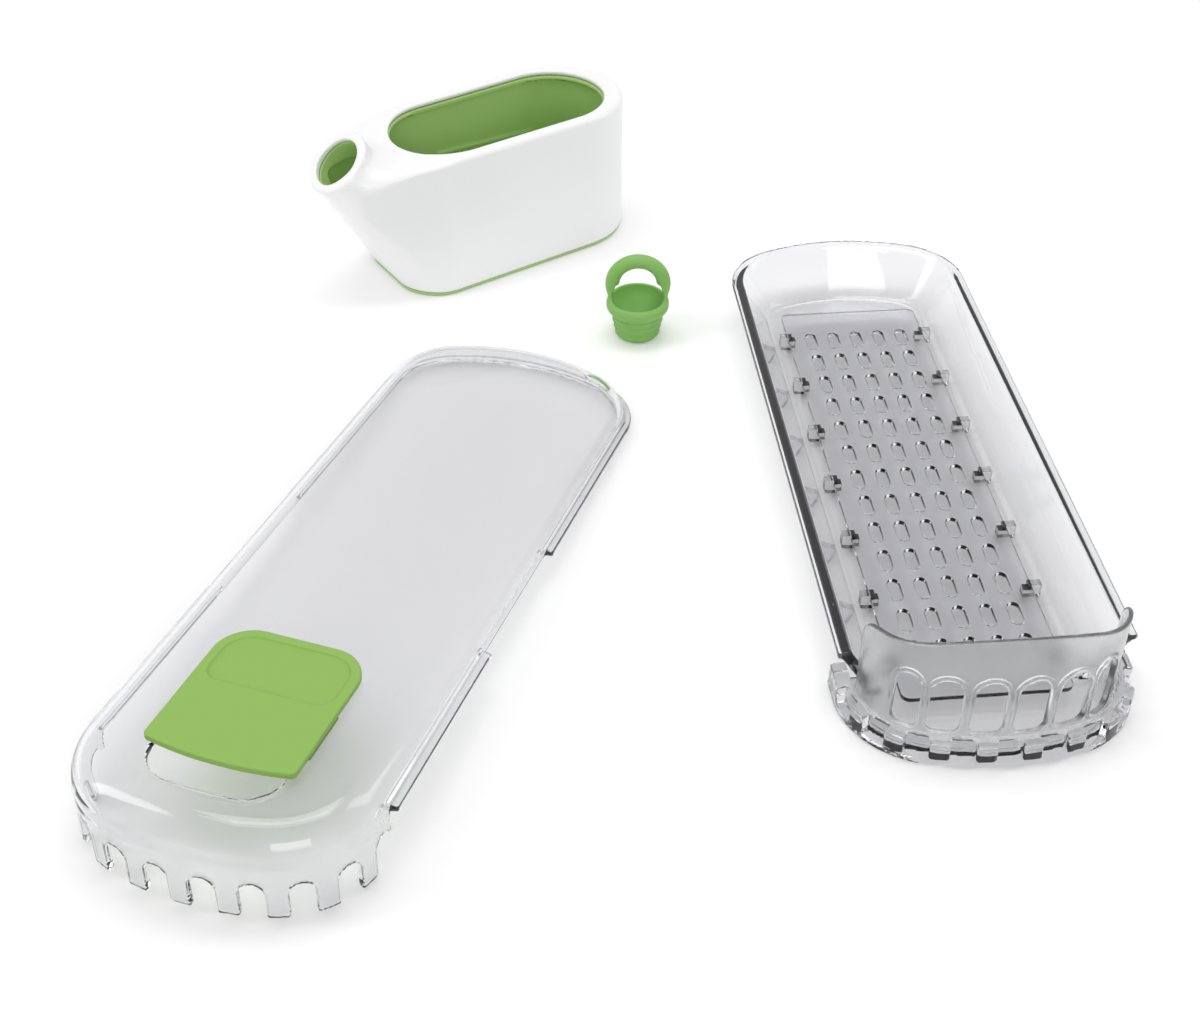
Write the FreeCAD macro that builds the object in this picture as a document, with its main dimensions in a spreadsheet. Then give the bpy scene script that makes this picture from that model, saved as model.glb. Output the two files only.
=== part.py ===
import FreeCAD, Part

# Herb keeper: a water tank with a spout and stopper, and a clear two-part pod
# that stands in the tank with its comb end down. The pod lies open here:
# the cover face down, the tray face up, with the stopper taken out.

import math
import os

Vector = FreeCAD.Vector
UP = Vector(0, 0, 1)

doc = FreeCAD.newDocument("herb_keeper")
sheet = doc.addObject("Spreadsheet::Sheet", "sizes")

SIZES = [
    ("podLength", 271, "pod, from the comb end to the far end"),
    ("podHalfWidth", 46.5, "pod, centre line to the side of the rim"),
    ("combRadius", 85, "large arc across the comb end"),
    ("combCorner", 30, "arc from the comb end into the side"),
    ("farRadius", 78, "large arc across the far end"),
    ("farCorner", 27, "arc from the far end into the side"),
    ("podWall", 2.2, "wall of the clear mouldings"),
    ("toothPitch", 14, "spacing of the comb teeth along the end"),
    ("toothCount", 9, "teeth in the comb end of the cover"),
    ("notchWidth", 7.4, "gap between two teeth"),
    ("notchHeight", 12.5, "depth of a gap, from the tips"),
    ("toothDrop", 17, "teeth below the cover's rim"),
    ("coverRise", 12.5, "top of the cover above its rim"),
    ("coverShoulder", 9, "rounding between the cover's top and side"),
    ("coverDraft", 1.5, "how far the cover's side leans in"),
    ("rimFlange", 2.4, "flange that stands out of the cover's rim"),
    ("rimThickness", 2, "thickness of that flange"),
    ("rimGapStart", 106, "bare stretch of rim for a finger, nearer end"),
    ("rimGapEnd", 160, "bare stretch of rim for a finger, farther end"),
    ("windowWidth", 41, "window under the vent door"),
    ("windowLength", 49, "window under the vent door, along the pod"),
    ("windowStart", 17, "comb end to the window"),
    ("windowCorner", 9, "corner of the window"),
    ("gripAside", 30, "small slot in the far wall, centre line to its middle"),
    ("gripWidth", 11, "small slot in the far wall"),
    ("gripHeight", 4, "small slot in the far wall"),
    ("doorWidth", 47, "vent door"),
    ("doorLength", 51, "vent door, along the pod"),
    ("doorThickness", 2.4, "plate of the vent door"),
    ("doorOpening", 11, "how far the vent door stands open"),
    ("doorCorner", 12, "round corners of the vent door"),
    ("doorGap", 0.2, "running gap under the vent door"),
    ("hookGap", 0.3, "running gap at the vent door's hooks"),
    ("hookLength", 18, "hooks of the vent door, along the pod"),
    ("recessDepth", 0.8, "thumb recess in the vent door"),
    ("trayDepth", 20, "tray, floor to rim"),
    ("trayLean", 13, "how far the tray's side leans out"),
    ("trayFloor", 2.2, "floor of the tray"),
    ("cageInset", 6, "stem cage behind the comb end"),
    ("cageWall", 2, "wall of the stem cage"),
    ("cageHeight", 46.5, "top of the stem cage, at its middle"),
    ("cageSideHeight", 37, "top of the stem cage, at its ends"),
    ("archWidth", 10, "arch between two posts"),
    ("archTop", 29, "top of the arches above the floor"),
    ("archCount", 6, "arches in the stem cage"),
    ("sillHeight", 8, "foot of the cage below the arches"),
    ("merlonHeight", 9, "blocks round the comb end"),
    ("merlonDepth", 3, "how far a block stands out"),
    ("gridSideGap", 6.5, "drip grid to the edge of the tray's floor"),
    ("gridStart", 24, "comb end to the drip grid"),
    ("gridFarGap", 33, "far end of the pod to the drip grid"),
    ("gridThickness", 1.6, "plate of the drip grid"),
    ("gridLift", 3, "drip grid above the tray's floor"),
    ("slotLength", 10, "drain slot"),
    ("slotWidth", 4, "drain slot"),
    ("slotPitch", 14.5, "drain slots along the pod"),
    ("slotRow", 9, "drain slots across the pod"),
    ("slotCountAlong", 13, "drain slots in a row"),
    ("slotCountAcross", 5, "rows of drain slots"),
    ("clipSize", 3, "clip that holds the drip grid"),
    ("clipMargin", 17, "end of the drip grid to the nearest clip"),
    ("clipCount", 7, "clips on each side"),
    ("tankRight", 60, "tank, centre to its round end"),
    ("tankHalfWidth", 28.5, "tank, centre line to side"),
    ("tankHeight", 60.5, "rim of the tank"),
    ("tankLeftFoot", 53, "tank, centre to the foot of the slanted wall"),
    ("tankLeftTop", 76, "tank, centre to the top of the slanted wall"),
    ("slantTop", 47, "height of the slanted wall"),
    ("noseHalfWidth", 12, "tank below the spout"),
    ("noseStart", 36, "where the tank begins to narrow"),
    ("shellWall", 2.2, "white outer shell"),
    ("linerWall", 1.8, "green inner tank"),
    ("footHeight", 1.2, "green foot under the shell"),
    ("footInset", 1.2, "foot inside the shell's outline"),
    ("rimRound", 2, "rounded outer edge of the tank's rim"),
    ("mouthCentre", 3, "centre of the tank's opening along the tank"),
    ("mouthLength", 96, "opening of the tank"),
    ("mouthWidth", 46, "opening of the tank"),
    ("spoutRadius", 14.2, "outside of the spout"),
    ("spoutBore", 10.3, "inside of the spout"),
    ("spoutReach", 72, "centre of the tank to the spout's mouth"),
    ("spoutHeight", 59, "height of the spout's mouth"),
    ("spoutLift", 50, "angle of the spout above level"),
    ("spoutLength", 34, "spout, from its mouth inwards"),
    ("plugTopRadius", 10, "shank of the stopper, top"),
    ("plugTipRadius", 8, "shank of the stopper, tip"),
    ("plugHeight", 12, "shank of the stopper"),
    ("plugRibs", 4, "sealing ribs on the shank"),
    ("plugRibRadius", 0.7, "section of a sealing rib"),
    ("collarRadius", 12.3, "collar of the stopper"),
    ("collarHeight", 6, "collar of the stopper"),
    ("bowlRadius", 9.8, "hollow in the stopper, mouth"),
    ("bowlDepth", 12, "hollow in the stopper"),
    ("ringRadius", 10.1, "pull ring, centre of its section"),
    ("ringSection", 2.8, "pull ring, radius of its section"),
    ("ringHeight", 23, "pull ring, height of its centre"),
    ("tankTurn", 34, "tank turned from the row's X axis"),
    ("stopperAside", 60, "stopper, to the right of the tank"),
    ("stopperFront", 73, "stopper, in front of the tank"),
    ("coverAside", 68.5, "cover's comb end, to the left of the tank"),
    ("coverFront", 355.2, "cover's comb end, in front of the tank"),
    ("coverTurn", 18.8, "cover turned from the row's Y axis"),
    ("trayAside", 166, "tray's comb end, to the right of the tank"),
    ("trayFront", 305, "tray's comb end, in front of the tank"),
    ("trayTurn", 5.2, "tray turned from the row's Y axis"),
]

for row, (alias, number, note) in enumerate(SIZES, start=1):
    sheet.set(f"A{row}", alias)
    sheet.set(f"B{row}", str(number))
    sheet.set(f"C{row}", note)
    sheet.setAlias(f"B{row}", alias)
doc.recompute()


def size(alias):
    """The number in the sheet under this name."""
    return float(sheet.get(alias))


def grid_size():
    """The drip grid's half width and length, which leave its gaps inside the tray."""
    half = size("podHalfWidth") - size("trayLean") - size("gridSideGap")
    return half, size("podLength") - size("gridStart") - size("gridFarGap")


def part_feature(label, shape, placement=FreeCAD.Placement()):
    """A sub-part whose shape is worked out from the sheet."""
    feature = doc.addObject("Part::Feature", label)
    feature.Label = label
    feature.Shape = shape
    feature.Placement = placement
    return feature


def arc_between(centre, radius, first, last):
    """An arc edge about a centre, with its angles in radians."""
    middle = (first + last) / 2
    points = []
    for angle in (first, middle, last):
        points.append(centre + Vector(math.cos(angle), math.sin(angle), 0) * radius)
    return Part.Arc(*points).toShape()


def pod_edges(inset=0.0, height=0.0, lean=0.0):
    """The pod's outline: two large end arcs, four corners, two sides.

    An inset moves all of it inwards. A lean moves in the sides and the far end only.
    """
    half_width = size("podHalfWidth") - lean
    length = size("podLength") - lean
    comb_radius = size("combRadius")
    comb_corner = size("combCorner") - lean
    far_radius = size("farRadius") - lean
    far_corner = size("farCorner") - lean
    corner_x = half_width - comb_corner
    comb_centre = Vector(0, comb_radius, height)
    corner_y = comb_centre.y - math.sqrt((comb_radius - comb_corner) ** 2 - corner_x ** 2)
    comb_angle = math.atan2(corner_y - comb_centre.y, corner_x)
    far_x = half_width - far_corner
    far_centre = Vector(0, length - far_radius, height)
    far_y = far_centre.y + math.sqrt((far_radius - far_corner) ** 2 - far_x ** 2)
    far_angle = math.atan2(far_y - far_centre.y, far_x)
    side = half_width - inset
    edges = [
        arc_between(comb_centre, comb_radius - inset, -math.pi - comb_angle, comb_angle),
        arc_between(Vector(corner_x, corner_y, height), comb_corner - inset, comb_angle, 0),
        Part.makeLine(Vector(side, corner_y, height), Vector(side, far_y, height)),
        arc_between(Vector(far_x, far_y, height), far_corner - inset, 0, far_angle),
        arc_between(far_centre, far_radius - inset, far_angle, math.pi - far_angle),
        arc_between(Vector(-far_x, far_y, height), far_corner - inset, math.pi - far_angle, math.pi),
        Part.makeLine(Vector(-side, far_y, height), Vector(-side, corner_y, height)),
        arc_between(Vector(-corner_x, corner_y, height), comb_corner - inset, -math.pi, -math.pi - comb_angle),
    ]
    return edges


def pod_wire(inset=0.0, height=0.0):
    """The pod's outline as one closed wire."""
    return Part.Wire(pod_edges(inset, height))


def pod_prism(inset, low, high):
    """The pod's outline carried straight up."""
    return Part.Face(pod_wire(inset, low)).extrude(Vector(0, 0, high - low))


def edges_at(shape, height, tolerance=0.01):
    """The edges that lie flat at one height."""
    return [
        edge
        for edge in shape.Edges
        if abs(edge.BoundBox.ZMin - height) < tolerance and abs(edge.BoundBox.ZMax - height) < tolerance
    ]


def comb_place(distance, inset=0.0):
    """The point and the outward angle at a distance along the comb end, from its middle."""
    radius = size("combRadius")
    corner = size("combCorner")
    corner_x = size("podHalfWidth") - corner
    corner_y = radius - math.sqrt((radius - corner) ** 2 - corner_x ** 2)
    half_angle = math.asin(corner_x / (radius - corner))
    along = abs(distance)
    side = 1 if distance >= 0 else -1
    if along <= radius * half_angle:
        angle = along / radius
        centre = Vector(0, radius, 0)
        reach = radius - inset
    else:
        angle = min(half_angle + (along - radius * half_angle) / corner, math.pi / 2)
        centre = Vector(corner_x, corner_y, 0)
        reach = corner - inset
    outward = Vector(math.sin(angle), -math.cos(angle), 0)
    point = centre + outward * reach
    past = along - radius * half_angle - corner * (math.pi / 2 - half_angle)
    if past > 0:
        point.y += past
    return Vector(side * point.x, point.y, 0), side * math.degrees(angle)


def turned_to(shape, distance, inset=0.0):
    """A shape made at the middle of the comb end, set at a distance along it."""
    point, angle = comb_place(distance, inset)
    shape = shape.copy()
    shape.Placement = FreeCAD.Placement(point, FreeCAD.Rotation(UP, angle)).multiply(shape.Placement)
    return shape


def arch_cutter(width, low, high, deep):
    """A gap with a round top, as a solid that passes through a wall."""
    radius = width / 2
    box = Part.makeBox(width, deep, high - radius - low, Vector(-radius, -deep / 2, low))
    top = Part.makeCylinder(radius, deep, Vector(0, -deep / 2, high - radius), Vector(0, 1, 0))
    return box.fuse(top).removeSplitter()


def comb_distances(count):
    """Places along the comb end, evenly spaced about its middle."""
    pitch = size("toothPitch")
    return [(number - (count - 1) / 2) * pitch for number in range(int(count))]


def cover_dome(inset, top):
    """The solid inside one face of the cover, with its leaning side and round shoulder."""
    lean = size("coverDraft")
    bottom = pod_wire(inset, 0)
    upper = pod_wire(inset + lean, top)
    dome = Part.makeLoft([bottom, upper], True, True)
    return dome.makeFillet(size("coverShoulder") - inset, edges_at(dome, top))


def cover_rim():
    """The flange at the cover's rim, bare at the comb and at the finger grips."""
    flange = size("rimFlange")
    thick = size("rimThickness")
    ring = pod_prism(-flange, 0, thick).cut(pod_prism(size("podWall") / 2, 0, thick))
    wide = 3 * size("podHalfWidth")
    comb = comb_place(size("toothPitch") * (size("toothCount") + 1) / 2 + size("notchWidth") / 2)[0].y
    ring = ring.cut(Part.makeBox(wide, comb + flange, thick, Vector(-wide / 2, -flange, 0)))
    start = size("rimGapStart")
    ring = ring.cut(Part.makeBox(wide, size("rimGapEnd") - start, thick, Vector(-wide / 2, start, 0)))
    return ring


def window_edges(width, length, corner, start, height):
    """A rectangle with four round corners, its near edge at a given place."""
    half = width / 2
    low = start
    high = start + length
    quarter = math.pi / 2
    edges = [
        Part.makeLine(Vector(-half + corner, low, height), Vector(half - corner, low, height)),
        arc_between(Vector(half - corner, low + corner, height), corner, -quarter, 0),
        Part.makeLine(Vector(half, low + corner, height), Vector(half, high - corner, height)),
        arc_between(Vector(half - corner, high - corner, height), corner, 0, quarter),
        Part.makeLine(Vector(half - corner, high, height), Vector(-half + corner, high, height)),
        arc_between(Vector(-half + corner, high - corner, height), corner, quarter, 2 * quarter),
        Part.makeLine(Vector(-half, high - corner, height), Vector(-half, low + corner, height)),
        arc_between(Vector(-half + corner, low + corner, height), corner, 2 * quarter, 3 * quarter),
    ]
    return edges


def make_cover():
    """The clear cover: dome, comb teeth, rim flange and the vent window."""
    wall = size("podWall")
    rise = size("coverRise")
    drop = size("toothDrop")
    pitch = size("toothPitch")
    notch = size("notchWidth")
    shell = cover_dome(0, rise).cut(cover_dome(wall, rise - wall))
    skirt = pod_prism(0, -drop, 0).cut(pod_prism(wall, -drop, 0))
    comb_end = comb_place(pitch * (size("toothCount") + 1) / 2)[0].y
    wide = 3 * size("podHalfWidth")
    keep = Part.makeBox(wide, comb_end, drop, Vector(-wide / 2, 0, -drop))
    shell = shell.fuse([skirt.common(keep), cover_rim()])
    cutter = arch_cutter(notch, -2 * drop, size("notchHeight") - drop, 6 * wall)
    for distance in comb_distances(size("toothCount") + 1):
        shell = shell.cut(turned_to(cutter, distance))
    window = Part.Wire(window_edges(
        size("windowWidth"), size("windowLength"), size("windowCorner"), size("windowStart"), rise - 2 * wall))
    shell = shell.cut(Part.Face(window).extrude(Vector(0, 0, 4 * wall)))
    far = size("podLength")
    corner = size("farCorner")
    grip_low = (rise - size("gripHeight")) / 2
    grip_left = size("gripAside") - size("gripWidth") / 2
    grip = Part.makeBox(size("gripWidth"), corner, size("gripHeight"), Vector(grip_left, far - corner, grip_low))
    return shell.cut(grip).removeSplitter()


def make_door():
    """The vent door: a plate with a thumb recess, and two hooks through the window."""
    width = size("doorWidth")
    length = size("doorLength")
    corner = size("doorCorner")
    thick = size("doorThickness")
    under = size("coverRise") + size("doorGap")
    start = size("windowStart") + size("doorOpening") - (size("doorLength") - size("windowLength")) / 2
    half = width / 2
    bulge = length / 20
    quarter = math.pi / 2
    low_left = Vector(-half, start, under)
    low_right = Vector(half, start, under)
    outline = Part.Wire([
        Part.Arc(low_left, Vector(0, start - bulge, under), low_right).toShape(),
        Part.makeLine(low_right, Vector(half, start + length - corner, under)),
        arc_between(Vector(half - corner, start + length - corner, under), corner, 0, quarter),
        Part.makeLine(Vector(half - corner, start + length, under), Vector(corner - half, start + length, under)),
        arc_between(Vector(corner - half, start + length - corner, under), corner, quarter, 2 * quarter),
        Part.makeLine(Vector(-half, start + length - corner, under), low_left),
    ])
    plate = Part.Face(outline).extrude(Vector(0, 0, thick))
    plate = plate.makeFillet(thick / 4, edges_at(plate, under + thick))
    recess_margin = corner / 3
    recess_length = length / 3
    recess = Part.Wire(window_edges(
        width - 2 * recess_margin, recess_length, corner - recess_margin,
        start + length - recess_margin - recess_length, under + thick - size("recessDepth")))
    plate = plate.cut(Part.Face(recess).extrude(Vector(0, 0, thick)))
    wall = size("podWall")
    gap = size("hookGap")
    leg_outer = size("windowWidth") / 2 - gap
    leg_low = size("coverRise") - wall - gap - thick / 2
    leg_start = size("windowStart") + size("windowCorner") + size("doorOpening") + 2 * gap
    pieces = []
    for side in (-1, 1):
        leg_left = leg_outer - wall if side > 0 else -leg_outer
        leg = Part.makeBox(wall, size("hookLength"), under - leg_low, Vector(leg_left, leg_start, leg_low))
        lip_left = leg_outer - wall if side > 0 else -leg_outer - wall
        lip = Part.makeBox(2 * wall, size("hookLength"), thick / 2, Vector(lip_left, leg_start, leg_low))
        pieces += [leg, lip]
    return plate.fuse(pieces).removeSplitter()


def tray_wire(inset, height, lean):
    """The tray's outline at one height: its sides and far end lean out, its comb end stands up."""
    return Part.Wire(pod_edges(inset, height, lean))


def make_tray():
    """The clear tray: leaning sides, rim, open comb end and the blocks round it."""
    wall = size("podWall")
    depth = size("trayDepth")
    floor = size("trayFloor")
    lean = size("trayLean")
    merlon = size("merlonHeight")
    deep = size("merlonDepth")
    cage = size("cageInset") + size("cageWall")
    outer = Part.makeLoft([tray_wire(0, 0, lean), tray_wire(0, depth, 0)], True, True)
    inner = Part.makeLoft([tray_wire(wall, floor, lean), tray_wire(wall, depth + floor, 0)], True, True)
    tub = outer.cut(inner)
    side_start = comb_place(size("toothPitch") * size("toothCount") / 2)[0].y
    wide = 3 * size("podHalfWidth")
    end_box = Part.makeBox(wide, side_start, depth, Vector(-wide / 2, 0, floor))
    tub = tub.cut(end_box)
    rim = pod_prism(0, depth - wall, depth).cut(pod_prism(2 * wall, depth - wall, depth))
    tub = tub.fuse(rim.cut(end_box))
    ledge = pod_prism(0, 0, floor).common(Part.makeBox(wide, side_start + cage, floor, Vector(-wide / 2, 0, 0)))
    blocks = pod_prism(0, 0, merlon).cut(pod_prism(deep + wall, 0, merlon))
    blocks = blocks.common(Part.makeBox(wide, side_start + cage, merlon, Vector(-wide / 2, 0, 0)))
    recess_width = size("toothPitch") - size("notchWidth") + wall / 2
    cutter = Part.makeBox(recess_width, 2 * deep, merlon, Vector(-recess_width / 2, -deep, floor))
    for distance in comb_distances(size("toothCount")):
        blocks = blocks.cut(turned_to(cutter, distance))
    return tub.fuse([ledge, blocks]).removeSplitter()


def make_cage():
    """The stem cage: a curved band on posts, with arches for the stems."""
    floor = size("trayFloor")
    inset = size("cageInset")
    wall = size("cageWall")
    top = size("cageHeight")
    wide = 3 * size("podHalfWidth")
    side_start = comb_place(size("toothPitch") * size("toothCount") / 2)[0].y
    ring = pod_prism(inset, floor, top).cut(pod_prism(inset + wall, floor, top))
    ring = ring.common(Part.makeBox(wide, side_start, top, Vector(-wide / 2, 0, 0)))
    cutter = arch_cutter(size("archWidth"), size("sillHeight"), size("archTop"), 4 * wall)
    for distance in comb_distances(size("archCount")):
        ring = ring.cut(turned_to(cutter, distance, inset))
    half = size("podHalfWidth") - inset
    fall = top - size("cageSideHeight")
    crown = (half ** 2 + fall ** 2) / (2 * fall)
    barrel = Part.makeCylinder(crown, side_start, Vector(0, 0, top - crown), Vector(0, 1, 0))
    return ring.common(barrel).removeSplitter()


def make_tank(inset):
    """The tank's body moved inwards by a wall: a plan outline cut to a side outline."""
    half = size("tankHalfWidth") - inset
    right = size("tankRight") - inset
    nose = size("noseHalfWidth") - inset
    left = size("tankLeftTop") - inset
    height = size("tankHeight")
    start = size("noseStart")
    bend = (start + left) / 2
    plan = Part.Wire([
        arc_between(Vector(right - half, 0, 0), half, -math.pi / 2, math.pi / 2),
        Part.makeLine(Vector(right - half, half, 0), Vector(-start, half, 0)),
        Part.Arc(Vector(-start, half, 0), Vector(-bend, (half + nose) / 2 + nose / 5, 0),
                 Vector(-left, nose, 0)).toShape(),
        Part.makeLine(Vector(-left, nose, 0), Vector(-left, -nose, 0)),
        Part.Arc(Vector(-left, -nose, 0), Vector(-bend, -(half + nose) / 2 - nose / 5, 0),
                 Vector(-start, -half, 0)).toShape(),
        Part.makeLine(Vector(-start, -half, 0), Vector(right - half, -half, 0)),
    ])
    foot = size("footHeight")
    low = foot + inset
    slant = (size("tankLeftTop") - size("tankLeftFoot")) / size("slantTop")
    foot_left = size("tankLeftFoot") - inset
    shoulder = size("spoutReach") - size("spoutRadius") / 2
    side = Part.makePolygon([
        Vector(-foot_left, 0, low),
        Vector(right, 0, low),
        Vector(right, 0, height - inset),
        Vector(inset - size("mouthLength") / 2 - size("shellWall"), 0, height - inset),
        Vector(inset - shoulder, 0, size("slantTop") + size("spoutRadius") / 2 - inset),
        Vector(-foot_left - slant * (size("slantTop") - low), 0, size("slantTop")),
        Vector(-foot_left, 0, low),
    ])
    body = Part.Face(plan).extrude(Vector(0, 0, 2 * height))
    width = 4 * size("tankHalfWidth")
    slab = Part.Face(side).extrude(Vector(0, width, 0))
    slab.translate(Vector(0, -width / 2, 0))
    return body.common(slab)


def spout_rod(radius, length):
    """A round rod from the spout's mouth inwards along its axis."""
    lift = math.radians(size("spoutLift"))
    outward = Vector(-math.cos(lift), 0, math.sin(lift))
    mouth = Vector(-size("spoutReach"), 0, size("spoutHeight"))
    return Part.makeCylinder(radius, length, mouth - outward * length, outward)


def mouth_prism(grow, low, high):
    """The tank's opening, a slot with round ends, grown by a wall."""
    radius = size("mouthWidth") / 2 + grow
    half = size("mouthLength") / 2 - size("mouthWidth") / 2
    centre = size("mouthCentre")
    outline = Part.Wire([
        arc_between(Vector(centre + half, 0, low), radius, -math.pi / 2, math.pi / 2),
        Part.makeLine(Vector(centre + half, radius, low), Vector(centre - half, radius, low)),
        arc_between(Vector(centre - half, 0, low), radius, math.pi / 2, 3 * math.pi / 2),
        Part.makeLine(Vector(centre - half, -radius, low), Vector(centre + half, -radius, low)),
    ])
    return Part.Face(outline).extrude(Vector(0, 0, high - low))


def make_shell():
    """The white outer shell with its spout."""
    wall = size("shellWall")
    liner = size("linerWall")
    top = size("tankHeight")
    body = make_tank(0)
    body = body.makeFillet(size("rimRound"), edges_at(body, top))
    body = body.fuse(spout_rod(size("spoutRadius"), size("spoutLength")))
    body = body.cut(make_tank(wall))
    body = body.cut(spout_rod(size("spoutBore") + liner, size("spoutLength")))
    return body.cut(mouth_prism(liner, top - 2 * wall, top + wall))


def make_liner():
    """The green inner tank, its neck up to the rim and its spout tube."""
    wall = size("shellWall")
    liner = size("linerWall")
    top = size("tankHeight")
    neck = mouth_prism(liner, top - 2 * wall, top - liner / 2)
    outer = make_tank(wall).fuse([spout_rod(size("spoutBore") + liner, size("spoutLength")), neck])
    inner = make_tank(wall + liner).fuse(
        [spout_rod(size("spoutBore"), size("spoutLength") + liner), mouth_prism(0, top - 4 * wall, top + wall)])
    return outer.cut(inner).removeSplitter()


def make_foot():
    """The green foot, which shows as a thin line under the shell."""
    tall = size("footHeight")
    inset = size("footInset")
    body = make_tank(inset)
    outline = Part.Wire(Part.__sortEdges__(edges_at(body, tall + inset)))
    outline.translate(Vector(0, 0, -tall - inset))
    return Part.Face(outline).extrude(Vector(0, 0, tall)).copy()


def make_stopper():
    """The soft green stopper: ribbed shank, hollow collar and pull ring."""
    shank_top = size("plugTopRadius")
    shank_tip = size("plugTipRadius")
    tall = size("plugHeight")
    collar = size("collarRadius")
    collar_top = tall + size("collarHeight")
    rib = size("plugRibRadius")
    body = Part.makeCone(shank_tip, shank_top, tall)
    ribs = []
    count = int(size("plugRibs"))
    for number in range(count):
        height = tall * (number + 0.7) / count
        radius = shank_tip + (shank_top - shank_tip) * height / tall
        ribs.append(Part.makeTorus(radius, rib, Vector(0, 0, height)))
    lower = Part.makeCone(shank_top, collar, size("collarHeight") / 2, Vector(0, 0, tall))
    upper = Part.makeCone(collar, collar - rib, size("collarHeight") / 2, Vector(0, 0, (tall + collar_top) / 2))
    ring = Part.makeTorus(size("ringRadius"), size("ringSection"), Vector(0, 0, size("ringHeight")), Vector(0, 1, 0))
    body = body.fuse(ribs + [lower, upper, ring])
    bowl = Part.makeCone(size("bowlRadius") / 2, size("bowlRadius"), size("bowlDepth"),
                         Vector(0, 0, collar_top - size("bowlDepth")))
    return body.cut(bowl).removeSplitter()


def make_grid():
    """The drip grid as a body: a plate with a field of drain slots."""
    body = doc.addObject("PartDesign::Body", "drip_grid")
    body.Label = "drip_grid"
    plane = [item for item in body.Origin.OriginFeatures if item.Role == "XY_Plane"][0]
    plate_sketch = body.newObject("Sketcher::SketchObject", "plate_outline")
    plate_sketch.AttachmentSupport = [(plane, "")]
    plate_sketch.MapMode = "FlatFace"
    add_rectangle(
        plate_sketch,
        "(sizes.podHalfWidth - sizes.trayLean - sizes.gridSideGap) * 2",
        "sizes.podLength - sizes.gridStart - sizes.gridFarGap")
    plate = body.newObject("PartDesign::Pad", "plate")
    plate.Profile = plate_sketch
    plate.setExpression("Length", "sizes.gridThickness")
    doc.recompute()
    slot_sketch = body.newObject("Sketcher::SketchObject", "slot_outline")
    slot_sketch.AttachmentSupport = [(plane, "")]
    slot_sketch.MapMode = "FlatFace"
    add_rectangle(slot_sketch, "sizes.slotWidth", "sizes.slotLength")
    slot_sketch.setExpression("AttachmentOffset.Base.x", "-sizes.slotRow * (sizes.slotCountAcross - 1) / 2")
    slot_sketch.setExpression("AttachmentOffset.Base.y", "-sizes.slotPitch * (sizes.slotCountAlong - 1) / 2")
    slot = body.newObject("PartDesign::Pocket", "slot")
    slot.Profile = slot_sketch
    slot.Type = 1
    slot.Reversed = True
    doc.recompute()
    field = body.newObject("PartDesign::MultiTransform", "slot_field")
    field.Originals = [slot]
    across = body.newObject("PartDesign::LinearPattern", "slots_across")
    across.Direction = (slot_sketch, ["H_Axis"])
    across.setExpression("Length", "sizes.slotRow * (sizes.slotCountAcross - 1)")
    across.setExpression("Occurrences", "sizes.slotCountAcross")
    along = body.newObject("PartDesign::LinearPattern", "slots_along")
    along.Direction = (slot_sketch, ["V_Axis"])
    along.setExpression("Length", "sizes.slotPitch * (sizes.slotCountAlong - 1)")
    along.setExpression("Occurrences", "sizes.slotCountAlong")
    field.Transformations = [across, along]
    body.Tip = field
    doc.recompute()
    return body


def add_rectangle(sketch, width, length):
    """A rectangle about the sketch's origin, with its two sizes bound to the sheet."""
    import Sketcher
    corners = [Vector(-1, -1, 0), Vector(1, -1, 0), Vector(1, 1, 0), Vector(-1, 1, 0)]
    for number in range(4):
        sketch.addGeometry(Part.LineSegment(corners[number], corners[(number + 1) % 4]), False)
    for number in range(4):
        sketch.addConstraint(Sketcher.Constraint("Coincident", number, 2, (number + 1) % 4, 1))
    sketch.addConstraint(Sketcher.Constraint("Horizontal", 0))
    sketch.addConstraint(Sketcher.Constraint("Horizontal", 2))
    sketch.addConstraint(Sketcher.Constraint("Vertical", 1))
    sketch.addConstraint(Sketcher.Constraint("Vertical", 3))
    sketch.addConstraint(Sketcher.Constraint("Symmetric", 0, 1, 2, 1, -1, 1))
    wide = sketch.addConstraint(Sketcher.Constraint("DistanceX", 0, 1, 0, 2, 2))
    tall = sketch.addConstraint(Sketcher.Constraint("DistanceY", 1, 1, 1, 2, 2))
    sketch.setExpression(f"Constraints[{wide}]", width)
    sketch.setExpression(f"Constraints[{tall}]", length)


def make_clips():
    """The clips that hold the drip grid: a post from the floor and a head over the edge."""
    clip = size("clipSize")
    floor = size("trayFloor")
    lift = size("gridLift")
    thick = size("gridThickness")
    edge, length = grid_size()
    middle = size("gridStart") + length / 2
    count = int(size("clipCount"))
    pitch = (length - 2 * size("clipMargin")) / (count - 1)
    clips = []
    for number in range(count):
        y = middle + (number - (count - 1) / 2) * pitch - clip / 2
        for side in (-1, 1):
            post = Part.makeBox(clip, clip, lift + thick + clip / 3, Vector(edge if side > 0 else -edge - clip, y, floor))
            seat = Part.makeBox(2 * clip, clip, lift, Vector(edge - clip if side > 0 else -edge - clip, y, floor))
            head_left = edge - clip / 2 if side > 0 else -edge - clip
            head = Part.makeBox(1.5 * clip, clip, clip / 3, Vector(head_left, y, floor + lift + thick))
            clips.append(post.fuse([seat, head]).removeSplitter())
    return Part.makeCompound(clips)


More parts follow.
